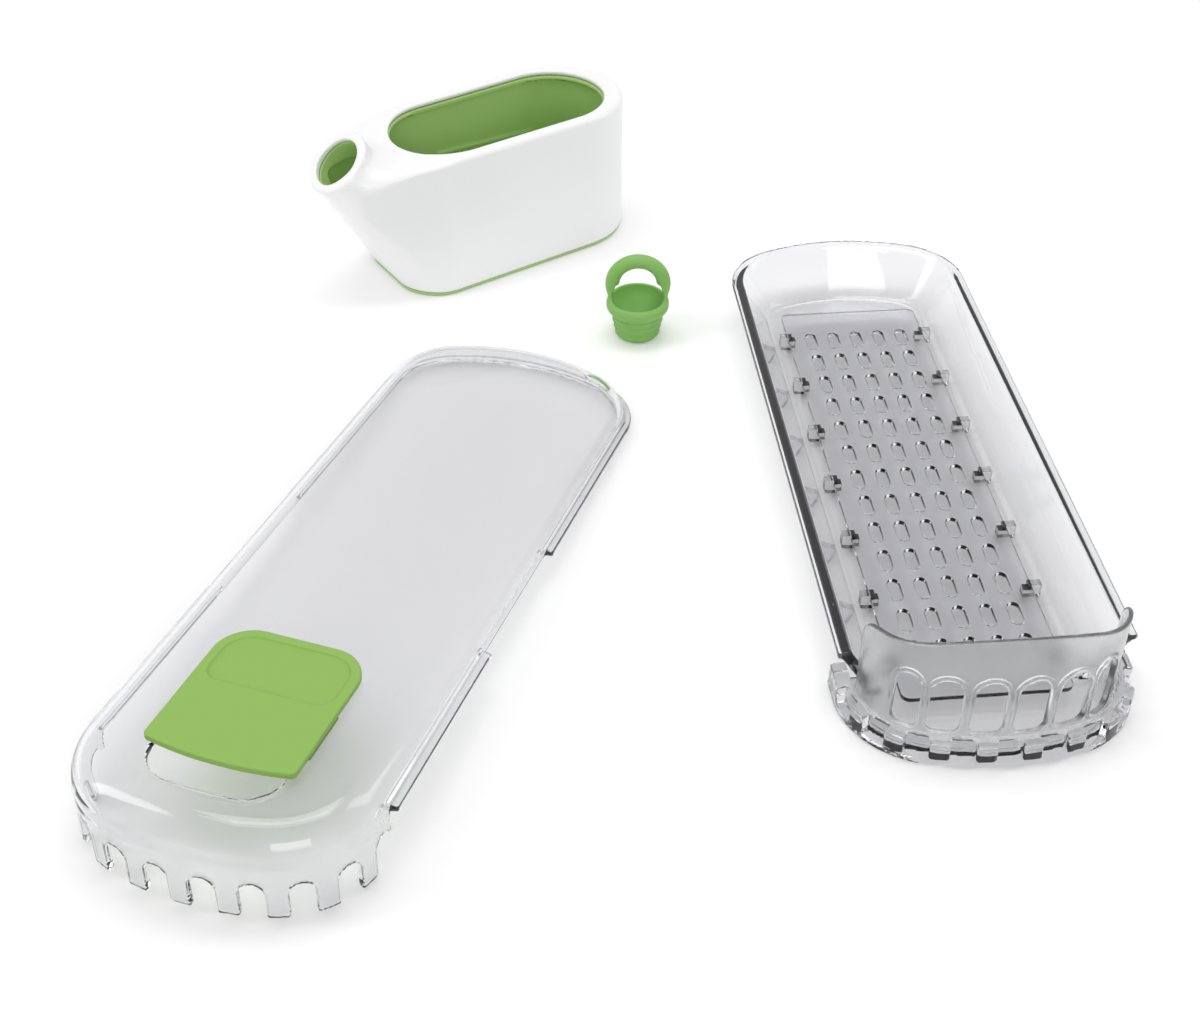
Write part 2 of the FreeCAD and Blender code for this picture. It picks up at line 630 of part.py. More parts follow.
tank_place = FreeCAD.Placement(Vector(0, 0, 0), FreeCAD.Rotation(UP, size("tankTurn")))
stopper_place = FreeCAD.Placement(
    Vector(size("stopperAside"), -size("stopperFront"), 0), FreeCAD.Rotation(UP, 0))
cover_foot = comb_place(size("toothPitch") * (size("toothCount") + 1) / 2)[0].y
cover_tilt = math.degrees(math.atan2(size("toothDrop"), size("podLength") + size("rimFlange") - cover_foot))
cover_turn = FreeCAD.Rotation(UP, -size("coverTurn")).multiply(FreeCAD.Rotation(Vector(1, 0, 0), -cover_tilt))
cover_lift = size("toothDrop") * math.cos(math.radians(cover_tilt))
cover_lift += cover_foot * math.sin(math.radians(cover_tilt))
cover_place = FreeCAD.Placement(Vector(-size("coverAside"), -size("coverFront"), cover_lift), cover_turn)
tray_place = FreeCAD.Placement(
    Vector(size("trayAside"), -size("trayFront"), 0), FreeCAD.Rotation(UP, size("trayTurn")))

parts = [
    part_feature("reservoir_shell", make_shell(), tank_place),
    part_feature("reservoir_liner", make_liner(), tank_place),
    part_feature("foot_pad", make_foot(), tank_place),
    part_feature("fill_stopper", make_stopper(), stopper_place),
    part_feature("cover_shell", make_cover(), cover_place),
    part_feature("vent_door", make_door(), cover_place),
    part_feature("tray_shell", make_tray(), tray_place),
    part_feature("stem_cage", make_cage(), tray_place),
    part_feature("grid_clips", make_clips(), tray_place),
]
grid = make_grid()
grid_offset = Vector(0, size("gridStart") + grid_size()[1] / 2, size("trayFloor") + size("gridLift"))
grid.Placement = tray_place.multiply(FreeCAD.Placement(grid_offset, FreeCAD.Rotation(UP, 0)))
parts.append(grid)
doc.recompute()

for item in doc.Objects:
    if "Invalid" in item.State or "Error" in item.State:
        raise RuntimeError(f"{item.Name} did not build")
for item in parts:
    if item.Shape.isNull() or not item.Shape.isValid():
        raise RuntimeError(f"{item.Label} has no valid shape")

os.makedirs("parts", exist_ok=True)
for item in parts:
    item.Shape.exportStep(f"parts/{item.Label}.step")
    print(item.Label, len(item.Shape.Solids), "solids", round(item.Shape.Volume / 1000, 2), "cm3")
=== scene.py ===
import math

import bpy
import numpy as np
from bpy.props import FloatProperty, FloatVectorProperty, IntProperty, PointerProperty
from mathutils import Euler, Matrix, Vector


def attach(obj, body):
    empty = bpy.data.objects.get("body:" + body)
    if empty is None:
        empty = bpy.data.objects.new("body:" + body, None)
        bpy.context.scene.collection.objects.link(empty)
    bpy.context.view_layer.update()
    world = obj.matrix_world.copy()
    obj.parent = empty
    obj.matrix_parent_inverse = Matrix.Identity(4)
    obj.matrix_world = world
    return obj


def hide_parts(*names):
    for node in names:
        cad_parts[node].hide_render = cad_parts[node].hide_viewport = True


bl_info = {
    "name": "Herb keeper",
    "version": (1, 0, 0),
    "blender": (4, 2, 0),
    "location": "3D View > Sidebar > Herb keeper",
    "description": "A spouted water tank with its stopper, and a clear two-part pod lying open",
    "category": "Add Mesh",
}

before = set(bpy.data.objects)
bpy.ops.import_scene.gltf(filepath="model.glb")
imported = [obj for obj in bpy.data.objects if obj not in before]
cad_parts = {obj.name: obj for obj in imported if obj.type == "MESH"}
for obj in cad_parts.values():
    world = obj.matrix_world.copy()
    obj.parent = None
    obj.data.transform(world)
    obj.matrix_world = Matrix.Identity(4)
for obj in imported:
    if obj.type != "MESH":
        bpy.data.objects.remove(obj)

# Tooth pitches from the middle of the comb end to its last tooth, and to the last block round it
LAST_TOOTH = 5
LAST_BLOCK = 4.5


def colour(code):
    """Linear red, green, blue and alpha of an sRGB hex colour."""
    channels = [int(code[start:start + 2], 16) / 255 for start in (1, 3, 5)]
    linear = [
        value / 12.92 if value <= 0.04045 else ((value + 0.055) / 1.055) ** 2.4 for value in channels]
    return (*linear, 1.0)


def length_property(name, description, metres):
    """A length that a user can change, in metres."""
    return FloatProperty(name=name, description=description, default=metres, unit="LENGTH")


def angle_property(name, description, degrees):
    """An angle that a user can change, given here in degrees and kept in radians."""
    return FloatProperty(
        name=name, description=description, default=math.radians(degrees), subtype="ANGLE")


def colour_property(name, description, code):
    """A colour that a user can change, given here as sRGB hex."""
    return FloatVectorProperty(
        name=name, description=description, subtype="COLOR", size=4, default=colour(code))


# Sizes that a user would change


class TankSizes(bpy.types.PropertyGroup):
    """The water tank and its liner."""

    half_width: length_property("Half width", "Centre line to the side", 0.0285)
    right: length_property("Round end", "Centre to the round end", 0.06)
    height: length_property("Height", "Rim above the ground", 0.0605)
    foot: length_property("Foot height", "Underside of the shell", 0.0012)
    foot_left: length_property("Foot reach", "Foot of the slanted wall", 0.053)
    top_left: length_property("Nose reach", "Top of the slanted wall", 0.076)
    slant_top: length_property("Slant height", "Top of the slanted wall", 0.042)
    nose: length_property("Nose half width", "Tank below the spout", 0.0138)
    nose_start: length_property("Nose start", "Where it narrows", 0.036)
    shell_wall: length_property("Shell wall", "White outer shell", 0.0022)
    liner_wall: length_property("Liner wall", "Green inner tank", 0.0018)
    mouth_centre: length_property("Mouth centre", "Along the tank", 0.003)
    mouth_length: length_property("Mouth length", "Opening, end to end", 0.096)
    mouth_width: length_property("Mouth width", "Opening, side to side", 0.046)
    rim_round: length_property("Rim rounding", "Outer edge of the rim", 0.0024)
    nose_round: length_property("Nose rounding", "Slanted wall's edges", 0.013)
    spout_radius: length_property("Spout", "Outside radius", 0.0142)
    spout_bore: length_property("Spout bore", "Inside radius", 0.0103)
    spout_reach: length_property("Spout reach", "Centre to its mouth", 0.072)
    spout_height: length_property("Spout height", "Middle of its mouth", 0.059)
    spout_length: length_property("Spout length", "Mouth inwards", 0.034)
    spout_lift: angle_property("Spout angle", "Above level", 50)
    turn: angle_property("Turn", "Tank about the upright", 34)
    white: colour_property("Shell", "Moulded white", "#F3F3F4")
    green: colour_property("Liner", "Moulded green", "#ABCD80")


class StopperSizes(bpy.types.PropertyGroup):
    """The soft stopper."""

    aside: length_property("Aside", "Right of the tank", 0.06)
    front: length_property("In front", "In front of the tank", 0.073)
    shank_top: length_property("Shank top", "Radius", 0.0102)
    shank_tip: length_property("Shank tip", "Radius", 0.0082)
    shank: length_property("Shank", "Height", 0.011)
    collar: length_property("Collar", "Radius", 0.0125)
    collar_top: length_property("Collar top", "Height", 0.0168)
    bowl: length_property("Bowl", "Radius of the hollow", 0.0104)
    bowl_depth: length_property("Bowl depth", "Depth of the hollow", 0.011)
    ring: length_property("Ring", "Centre of its section", 0.0101)
    ring_section: length_property("Ring section", "Radius", 0.0028)
    ring_height: length_property("Ring height", "Its centre", 0.023)
    ribs: IntProperty(name="Ribs", description="Sealing ribs on the shank", default=4, min=0)
    rib: length_property("Rib", "How far a rib stands out", 0.0006)
    green: colour_property("Stopper", "Soft green", "#80B45B")


class PodSizes(bpy.types.PropertyGroup):
    """The outline that the cover and the tray share."""

    length: length_property("Length", "Comb end to far end", 0.271)
    half_width: length_property("Half width", "Centre line to the rim", 0.0465)
    comb_radius: length_property("Comb end", "Large arc", 0.085)
    comb_corner: length_property("Comb corner", "Small arc", 0.03)
    far_radius: length_property("Far end", "Large arc", 0.078)
    far_corner: length_property("Far corner", "Small arc", 0.027)
    wall: length_property("Wall", "Clear mouldings", 0.0022)
    pitch: length_property("Tooth pitch", "Along the comb end", 0.014)
    clear: colour_property("Clear", "Body of the clear plastic", "#F0F0F2")


class CoverSizes(bpy.types.PropertyGroup):
    """The clear cover and its vent door."""

    aside: length_property("Aside", "Comb end, left of the tank", 0.0685)
    front: length_property("In front", "Comb end, before the tank", 0.3552)
    turn: angle_property("Turn", "About the upright", 18.8)
    rise: length_property("Rise", "Top above the rim", 0.0125)
    shoulder: length_property("Shoulder", "Rounding at the top", 0.009)
    draft: length_property("Draft", "How far the side leans in", 0.0015)
    drop: length_property("Teeth", "Teeth below the rim", 0.017)
    notch: length_property("Notch", "Gap between teeth", 0.0074)
    notch_height: length_property("Notch height", "From the tips", 0.0125)
    flange: length_property("Flange", "How far it stands out", 0.0024)
    flange_thick: length_property("Flange thickness", "Thickness", 0.002)
    gap_start: length_property("Grip start", "Bare rim, nearer end", 0.106)
    gap_end: length_property("Grip end", "Bare rim, farther end", 0.16)
    window_width: length_property("Window width", "Under the door", 0.041)
    window_length: length_property("Window length", "Under the door", 0.049)
    window_start: length_property("Window start", "From the comb", 0.017)
    door_width: length_property("Door width", "Vent door", 0.047)
    door_length: length_property("Door length", "Vent door", 0.051)
    door_thick: length_property("Door thickness", "Vent door", 0.0024)
    door_open: length_property("Door opening", "How far it stands open", 0.011)
    door_corner: length_property("Door corner", "Far corners", 0.012)
    recess: length_property("Recess", "Depth of the thumb recess", 0.0008)
    green: colour_property("Door", "Moulded green", "#88B250")


class TraySizes(bpy.types.PropertyGroup):
    """The clear tray, its stem cage and its drip grid."""

    aside: length_property("Aside", "Comb end, right of the tank", 0.166)
    front: length_property("In front", "Comb end, before the tank", 0.305)
    turn: angle_property("Turn", "About the upright", 5.2)
    depth: length_property("Depth", "Ground to rim", 0.02)
    lean: length_property("Lean", "How far the side leans out", 0.013)
    floor: length_property("Floor", "Thickness", 0.0022)
    block: length_property("Blocks", "Blocks round the comb end", 0.009)
    block_depth: length_property("Block depth", "How far one stands out", 0.003)
    cage_inset: length_property("Cage inset", "Behind the comb end", 0.006)
    cage_wall: length_property("Cage wall", "Thickness", 0.002)
    cage_top: length_property("Cage top", "At its middle", 0.0465)
    cage_side: length_property("Cage sides", "Top at its ends", 0.037)
    arch: length_property("Arch", "Width between posts", 0.01)
    arch_top: length_property("Arch top", "Above the ground", 0.029)
    arch_count: IntProperty(name="Arches", description="Number of arches", default=6, min=1)
    sill: length_property("Sill", "Foot below the arches", 0.008)
    grid_side: length_property("Grid gap", "Edge of the floor to the grid", 0.0065)
    grid_start: length_property("Grid start", "From the comb end", 0.024)
    grid_far: length_property("Grid far gap", "From the far end", 0.033)
    grid_thick: length_property("Grid thickness", "Plate", 0.0016)
    grid_lift: length_property("Grid lift", "Above the floor", 0.003)
    slot_length: length_property("Slot length", "Drain slot", 0.01)
    slot_width: length_property("Slot width", "Drain slot", 0.004)
    slot_pitch: length_property("Slot pitch", "Along the pod", 0.0145)
    slot_row: length_property("Row pitch", "Across the pod", 0.009)
    slots_along: IntProperty(name="Slots along", description="Slots in a row", default=13, min=1)
    slots_across: IntProperty(name="Slots across", description="Rows of slots", default=5, min=1)
    frost: colour_property("Frost", "Body of the frosted cage", "#F8F9F9")


class StageSizes(bpy.types.PropertyGroup):
    """The floor, the lamps and the camera."""

    floor: colour_property("Floor", "Matt white", "#FAFAFA")
    pitch: angle_property("Camera pitch", "Below level", 40)
    lens: FloatProperty(name="Lens", description="Focal length in millimetres", default=49.62)


# Shapes as distance fields: each is below zero inside a body and above zero outside it


def both(a, b, rounding=0.0):
    """Where two bodies overlap: the larger distance, its edge rounded by a quarter circle."""
    corner = np.hypot(np.maximum(a + rounding, 0), np.maximum(b + rounding, 0))
    return np.minimum(np.maximum(a, b), -rounding) + corner


def either(a, b, rounding=0.0):
    """Two bodies joined, with a hollow fillet where they meet."""
    return -both(-a, -b, rounding)


def without(a, b, rounding=0.0):
    """The first body with the second cut out of it, its new edges rounded."""
    return both(a, -b, rounding)


def slab(value, low, high):
    """Distance to the space between two levels of one coordinate."""
    return np.maximum(low - value, value - high)


def rounded_box(x, y, half_x, half_y, corner):
    """Distance to a rectangle with round corners: the box of its corner centres, grown by the corner."""
    across = np.abs(x) - half_x + corner
    along = np.abs(y) - half_y + corner
    outside = np.hypot(np.maximum(across, 0), np.maximum(along, 0))
    return outside + np.minimum(np.maximum(across, along), 0) - corner


def pod_outline(x, y, lean=0.0):
    """Distance to the pod's outline: large end arcs that run through small arcs into straight sides.

    A lean moves the sides and the far end inwards. The comb end stays where it is.
    """
    pod = bpy.context.scene.herb_pod
    across = np.abs(x)
    half_width = pod.half_width - lean
    comb_corner = pod.comb_corner - lean
    far_corner = pod.far_corner - lean
    far_radius = pod.far_radius - lean
    corner_x = pod.half_width - pod.comb_corner
    corner_y = pod.comb_radius - np.sqrt((pod.comb_radius - comb_corner) ** 2 - corner_x ** 2)
    far_x = pod.half_width - pod.far_corner
    far_centre = pod.length - lean - far_radius
    far_y = far_centre + np.sqrt((far_radius - far_corner) ** 2 - far_x ** 2)
    comb = np.hypot(x, y - pod.comb_radius) - pod.comb_radius
    comb_turn = np.hypot(across - corner_x, y - corner_y) - comb_corner
    on_comb = across * (pod.comb_radius - corner_y) < (pod.comb_radius - y) * corner_x
    near = np.where(on_comb, comb, comb_turn)
    end = np.hypot(x, y - far_centre) - far_radius
    end_turn = np.hypot(across - far_x, y - far_y) - far_corner
    on_end = across * (far_y - far_centre) < (y - far_centre) * far_x
    far = np.where(on_end, end, end_turn)
    return np.where(y < corner_y, near, np.where(y > far_y, far, across - half_width))


def comb_along(x, y):
    """Distance along the comb end from its middle: arc length on both arcs, then straight on."""
    pod = bpy.context.scene.herb_pod
    across = np.abs(x)
    corner_x = pod.half_width - pod.comb_corner
    reach = pod.comb_radius - pod.comb_corner
    half_angle = math.asin(corner_x / reach)
    corner_y = pod.comb_radius - reach * math.cos(half_angle)
    angle = np.arctan2(across, pod.comb_radius - y)
    turn = np.arctan2(across - corner_x, corner_y - y)
    turned = np.clip(turn, 0, math.pi / 2) - half_angle
    on_corner = pod.comb_radius * half_angle + pod.comb_corner * turned
    along = np.where(angle <= half_angle, pod.comb_radius * angle, on_corner + np.maximum(y - corner_y, 0))
    return np.sign(x) * along


def comb_place(distance):
    """How far along the pod a place on the comb end lies, by the same arcs."""
    pod = bpy.context.scene.herb_pod
    corner_x = pod.half_width - pod.comb_corner
    reach = pod.comb_radius - pod.comb_corner
    half_angle = math.asin(corner_x / reach)
    corner_y = pod.comb_radius - reach * math.cos(half_angle)
    past = distance - pod.comb_radius * half_angle
    angle = half_angle + past / pod.comb_corner
    if angle > math.pi / 2:
        return corner_y + past - pod.comb_corner * (math.pi / 2 - half_angle)
    return corner_y - pod.comb_corner * math.cos(angle)


def nearest_of(value, pitch, count):
    """Offset from the nearest of several evenly spaced places about zero."""
    first = (count - 1) / 2
    number = np.clip(np.round(value / pitch + first), 0, count - 1) - first
    return value - number * pitch


def arch(offset, height, half, top):
    """Distance to a gap with a half-round top: a circle above, straight sides below."""
    above = np.maximum(height - (top - half), 0)
    return np.hypot(offset, above) - half


# Surfaces from distance fields


def net_surface(field, low, high, step):
    """Points and four-sided faces where a field passes through zero.

    Each grid cell that the surface crosses gets one point, the mean of its crossings, and each grid
    edge that it crosses gets one face between its four cells. The points are then drawn onto the exact
    surface along the field's slope. Blends between bodies come out smooth, which one sheet can't give.
    """
    low = np.array(low, float)
    counts = np.ceil((np.array(high) - low) / step).astype(int) + 1
    axes = [low[axis] + step * np.arange(counts[axis]) for axis in range(3)]
    value = field(*np.meshgrid(*axes, indexing="ij"))
    strides = np.array([counts[1] * counts[2], counts[2], 1])
    owners = []
    places = []
    quads = []
    for axis in range(3):
        first = np.take(value, np.arange(counts[axis] - 1), axis)
        second = np.take(value, np.arange(1, counts[axis]), axis)
        edge = np.argwhere((first < 0) != (second < 0))
        start = first[tuple(edge.T)]
        end = second[tuple(edge.T)]
        place = edge.astype(float)
        place[:, axis] += start / (start - end)
        cell = edge @ strides
        back = strides[(axis + 1) % 3]
        side = strides[(axis + 2) % 3]
        ring = np.stack([cell, cell - back, cell - back - side, cell - side], 1)
        ring[start > 0] = ring[start > 0][:, ::-1]
        owners.append(ring.ravel())
        places.append(np.repeat(place, 4, axis=0))
        quads.append(ring)
    owners = np.concatenate(owners)
    places = np.concatenate(places)
    quads = np.concatenate(quads)
    cells, owner = np.unique(owners, return_inverse=True)
    owner = owner.ravel()
    shares = np.bincount(owner)
    points = np.stack([np.bincount(owner, places[:, axis]) / shares for axis in range(3)], 1)
    points = low + points * step
    faces = np.searchsorted(cells, quads)
    passes = 4
    reach = step * 0.1
    least_slope = 0.05
    tiny = 1e-12
    for _ in range(passes):
        slope, here = slope_at(field, points, reach)
        move = here[:, None] * slope / np.maximum((slope ** 2).sum(1), least_slope)[:, None]
        length = np.linalg.norm(move, axis=1)
        points = points - move * np.minimum(1, 0.5 * step / np.maximum(length, tiny))[:, None]
    slope, _ = slope_at(field, points, reach)
    normals = slope / np.maximum(np.linalg.norm(slope, axis=1), tiny)[:, None]
    return points, faces, normals


def slope_at(field, points, reach):
    """A field's slope, from its values a small reach to either side, and the field itself."""
    x, y, z = points.T
    slope = np.stack([
        field(x + reach, y, z) - field(x - reach, y, z),
        field(x, y + reach, z) - field(x, y - reach, z),
        field(x, y, z + reach) - field(x, y, z - reach)], 1) / (2 * reach)
    return slope, field(x, y, z)


def add_piece(name, points, faces, place, material, normals=None):
    """A mesh object at the origin, with its place in its points."""
    turn = np.array(place)
    points = points @ turn[:3, :3].T + turn[:3, 3]
    mesh = bpy.data.meshes.new(name)
    mesh.vertices.add(len(points))
    mesh.vertices.foreach_set("co", points.astype(np.float32).ravel())
    mesh.loops.add(faces.size)
    mesh.loops.foreach_set("vertex_index", faces.astype(np.int32).ravel())
    mesh.polygons.add(len(faces))
    mesh.polygons.foreach_set("loop_start", np.arange(len(faces), dtype=np.int32) * faces.shape[1])
    mesh.update(calc_edges=True)
    mesh.polygons.foreach_set("use_smooth", np.ones(len(faces), bool))
    if normals is not None:
        mesh.normals_split_custom_set_from_vertices((normals @ turn[:3, :3].T).astype(np.float32))
    mesh.materials.append(material)
    piece = bpy.data.objects.new(name, mesh)
    bpy.context.scene.collection.objects.link(piece)
    return piece


def field_piece(name, field, low, high, step, place, material):
    """A piece from its distance field."""
    points, faces, normals = net_surface(field, low, high, step)
    return add_piece(name, points, faces, place, material, normals)


def tank_place():
    """The tank is turned about the upright through the origin."""
    return Matrix.Rotation(bpy.context.scene.herb_tank.turn, 4, "Z")


def cover_place():
    """The cover lies face down on its side teeth and its far rim, so it tips forward a little."""
    sizes = bpy.context.scene.herb_cover
    pod = bpy.context.scene.herb_pod
    foot = comb_place(LAST_TOOTH * pod.pitch)
    tilt = math.atan2(sizes.drop, pod.length + sizes.flange - foot)
    lift = sizes.drop * math.cos(tilt) + foot * math.sin(tilt)
    turn = Matrix.Rotation(-sizes.turn, 4, "Z") @ Matrix.Rotation(-tilt, 4, "X")
    return Matrix.Translation((-sizes.aside, -sizes.front, lift)) @ turn


def tray_place():
    """The tray lies on its floor, turned about the upright."""
    sizes = bpy.context.scene.herb_tray
    return Matrix.Translation((sizes.aside, -sizes.front, 0)) @ Matrix.Rotation(sizes.turn, 4, "Z")


# Finishes


def node(tree, kind, settings=None, **links):
    """A node with its settings, and its inputs set or linked."""
    made = tree.nodes.new(kind)
    for key, value in (settings or {}).items():
        setattr(made, key, value)
    for key, value in links.items():
        socket = made.inputs[key.replace("_", " ")]
        if isinstance(value, bpy.types.NodeSocket):
            tree.links.new(value, socket)
        else:
            socket.default_value = value
    return made


def finish_of(name, base, roughness, ior=1.5, transmission=0.0, waviness=0.0, wave=0.02, grain=0.0):
    """A moulded plastic: one shader, with a slow flow wave and a fine grain as bumps if asked for.

    The wave and the grit are real lengths in metres, read from Object coordinates.
    """
    grit = 0.0006
    made = bpy.data.materials.get(name) or bpy.data.materials.new(name)
    made.use_nodes = True
    tree = made.node_tree
    tree.nodes.clear()
    shader = node(
        tree, "ShaderNodeBsdfPrincipled", Base_Color=base, Roughness=roughness, IOR=ior,
        Transmission_Weight=transmission)
    place = node(tree, "ShaderNodeTexCoord").outputs["Object"]
    normal = None
    for depth, length in ((waviness, wave), (grain, grit)):
        if depth > 0:
            noise = node(tree, "ShaderNodeTexNoise", Vector=place, Scale=1 / length, Detail=1.0)
            height = noise.outputs["Fac"]
            bump = node(tree, "ShaderNodeBump", Strength=1.0, Distance=depth, Height=height)
            if normal is not None:
                tree.links.new(normal, bump.inputs["Normal"])
            normal = bump.outputs["Normal"]
    if normal is not None:
        tree.links.new(normal, shader.inputs["Normal"])
    node(tree, "ShaderNodeOutputMaterial", Surface=shader.outputs["BSDF"])
    made.diffuse_color = base
    return made


def white_abs():
    """ABS moulded in a polished tool: bright white with broad soft highlights."""
    return finish_of(
        "White ABS, polished moulding", bpy.context.scene.herb_tank.white, 0.28, 1.53, waviness=0.00004)


def green_liner():
    """Polypropylene from a satin tool: an even green whose highlights spread wide."""
    return finish_of(
        "Green polypropylene, satin moulding", bpy.context.scene.herb_tank.green, 0.42, 1.49)


def green_door():
    """Polypropylene from a fine satin tool: flat colour with a faint sheen."""
    return finish_of(
        "Green polypropylene, satin door", bpy.context.scene.herb_cover.green, 0.46, 1.49,
        grain=0.000006)


def soft_green():
    """Thermoplastic elastomer: deeper green, soft to the touch, with dull highlights."""
    return finish_of(
        "Green elastomer, soft moulding", bpy.context.scene.herb_stopper.green, 0.5, 1.47)


def clear_plastic():
    """Styrene acrylonitrile from a mirror tool: water clear, bright edges, slow waves where it flowed."""
    return finish_of(
        "Clear SAN, mirror moulding", bpy.context.scene.herb_pod.clear, 0.02, 1.5, 1.0,
        waviness=0.00003, wave=0.03)


def frosted_clear():
    """The same plastic from a lightly blasted tool: what stands behind it shows soft."""
    return finish_of(
        "Clear SAN, light frost", bpy.context.scene.herb_tray.frost, 0.2, 1.5, 1.0, grain=0.00001)


# The tank


def tank_body(x, y, z):
    """The tank: an outline that narrows to a nose, a level rim with a shoulder, and a slanted wall.

    The sides close in by a power of the way along the nose. The slanted wall's edges are rounder low
    down than high up, and the rim's edge is rounder on the shoulder.
    """
    sizes = bpy.context.scene.herb_tank
    narrowing = 1.4
    past_end = 1.2
    foot_round = 0.0015
    slant_round = 0.005
    slant_round_from = 0.012
    slant_round_over = 0.03
    shoulder_fall = math.radians(15)
    shoulder_round = 0.006
    shoulder_edge = 0.003
    shoulder_edge_over = 0.014
    past = np.clip((-sizes.nose_start - x) / (sizes.top_left - sizes.nose_start), 0, past_end)
    side = np.abs(y) - sizes.half_width + (sizes.half_width - sizes.nose) * past ** narrowing
    cap = np.hypot(x - sizes.right + sizes.half_width, y) - sizes.half_width
    plan = np.where(x > sizes.right - sizes.half_width, cap, side)
    plan = both(plan, -sizes.top_left - x, sizes.nose * 0.5)
    run = sizes.top_left - sizes.foot_left
    climb = sizes.slant_top - sizes.foot
    slanted = (-(x + sizes.foot_left) * climb - (z - sizes.foot) * run) / math.hypot(run, climb)
    easing = np.clip((z - slant_round_from) / slant_round_over, 0, 1)
    body = both(plan, slanted, sizes.nose_round + (slant_round - sizes.nose_round) * easing)
    body = both(body, sizes.foot - z, foot_round)
    rim_end = sizes.mouth_centre - sizes.mouth_length / 2 - 2 * sizes.shell_wall
    shoulder = (z - sizes.height) * math.cos(shoulder_fall) + (rim_end - x) * math.sin(shoulder_fall)
    top = both(z - sizes.height, shoulder, shoulder_round)
    edge = sizes.rim_round + shoulder_edge * np.clip((rim_end - x) / shoulder_edge_over, 0, 1)
    return both(body, top, edge)


def spout_axis(x, y, z):
    """How far a point lies inwards from the spout's mouth, and how far from its axis."""
    sizes = bpy.context.scene.herb_tank
    aside = x + sizes.spout_reach
    up = z - sizes.spout_height
    inwards = aside * math.cos(sizes.spout_lift) - up * math.sin(sizes.spout_lift)
    across = aside * math.sin(sizes.spout_lift) + up * math.cos(sizes.spout_lift)
    return inwards, np.hypot(across, y)


def tank_mouth(x, y, grow):
    """Distance to the tank's opening, a slot with round ends."""
    sizes = bpy.context.scene.herb_tank
    half = sizes.mouth_width / 2
    straight = sizes.mouth_length / 2 - half
    over = np.maximum(np.abs(x - sizes.mouth_centre) - straight, 0)
    return np.hypot(over, y) - half - grow


def shell_field(x, y, z):
    """The white shell: tank and spout joined by a fillet, hollow, with a lip round each opening."""
    sizes = bpy.context.scene.herb_tank
    waist_depth = 0.0009
    waist_reach = 0.006
    spout_round = 0.0014
    spout_fillet = 0.007
    lip = 0.0025
    tube_gap = 0.0001
    inner_edge = 0.0003
    bore_edge = 0.0009
    mouth_gap = 0.0004
    mouth_edge = 0.001
    body = tank_body(x, y, z)
    inwards, away = spout_axis(x, y, z)
    waist = waist_depth * np.clip(inwards / waist_reach, 0, 1) ** 2
    length = slab(inwards, 0, sizes.spout_length)
    spout = both(away - sizes.spout_radius + waist, length, spout_round)
    outer = either(body, spout, spout_fillet)
    inner = body + sizes.shell_wall
    tube = np.maximum(away - sizes.spout_bore - sizes.liner_wall - tube_gap, lip - inwards)
    inner = either(inner, tube, 0.0)
    shell = without(outer, inner, inner_edge)
    shell = without(shell, np.maximum(away - sizes.spout_bore, inwards - 2 * lip), bore_edge)
    opening = np.maximum(tank_mouth(x, y, mouth_gap), sizes.height - 2 * sizes.shell_wall - z)
    return without(shell, opening, mouth_edge)


def liner_field(x, y, z):
    """The green inner tank: the same body moved in by the shell's wall, open at the rim and the spout.

    The ledge on its far wall stands out by a bell curve of the height above or below it.
    """
    sizes = bpy.context.scene.herb_tank
    gap = 0.00015
    lip = 0.0027
    tube_edge = 0.0003
    tube_fillet = 0.001
    bore_past = 0.002
    rim_edge = 0.0006
    ledge_depth = 0.0007
    ledge_height = 0.034
    ledge_slope = 0.05
    ledge_width = 0.0011
    ledge_middle = 0.01
    ledge_half = 0.024
    body = tank_body(x, y, z) + sizes.shell_wall + gap
    inwards, away = spout_axis(x, y, z)
    length = slab(inwards, lip, sizes.spout_length)
    tube = both(away - sizes.spout_bore - sizes.liner_wall, length, tube_edge)
    outer = either(body, tube, tube_fillet)
    on_ledge = (np.abs(x - ledge_middle) < ledge_half) * (y > 0)
    ledge = ledge_depth * np.exp(-((z - ledge_height + ledge_slope * x) / ledge_width) ** 2) * on_ledge
    inner = body + sizes.liner_wall + ledge
    bore = np.maximum(away - sizes.spout_bore, inwards - sizes.spout_length - bore_past)
    inner = either(inner, bore, tube_fillet)
    opening = np.maximum(tank_mouth(x, y, 0.0), sizes.height - 4 * sizes.shell_wall - z)
    return without(outer, either(inner, opening, 0.0), rim_edge)


def foot_field(x, y, z):
    """The green foot: the tank's outline just above its underside, moved in a little."""
    sizes = bpy.context.scene.herb_tank
    outline_height = 0.0028
    inset = 0.0008
    gap = 0.00005
    edge = 0.0003
    outline = tank_body(x, y, np.full_like(z, outline_height)) + inset
    return both(outline, slab(z, 0, sizes.foot - gap), edge)


class HERB_OT_tank(bpy.types.Operator):
    """Add the white shell, the green inner tank and the green foot."""

    bl_idname = "herb.tank"
    bl_label = "Add the tank"

    def execute(self, context):
        low = (-0.086, -0.0305, -0.001)
        high = (0.062, 0.0305, 0.0695)
        foot_high = (0.062, 0.0305, 0.0025)
        step = 0.0008
        foot_step = 0.0006
        place = tank_place()
        shell = field_piece("tank_shell", shell_field, low, high, step, place, white_abs())
        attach(shell, "tank")
        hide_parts("reservoir_shell")
        liner = field_piece("tank_liner", liner_field, low, high, step, place, green_liner())
        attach(liner, "tank")
        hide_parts("reservoir_liner")
        foot = field_piece("tank_foot", foot_field, low, foot_high, foot_step, place, green_liner())
        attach(foot, "tank")
        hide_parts("foot_pad")
        return {"FINISHED"}


def finish_node(name, material):
    """A plain CAD solid that is shown as it is, with a better finish."""
    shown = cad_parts[name]
    shown.data.materials.clear()
    shown.data.materials.append(material)


# The stopper


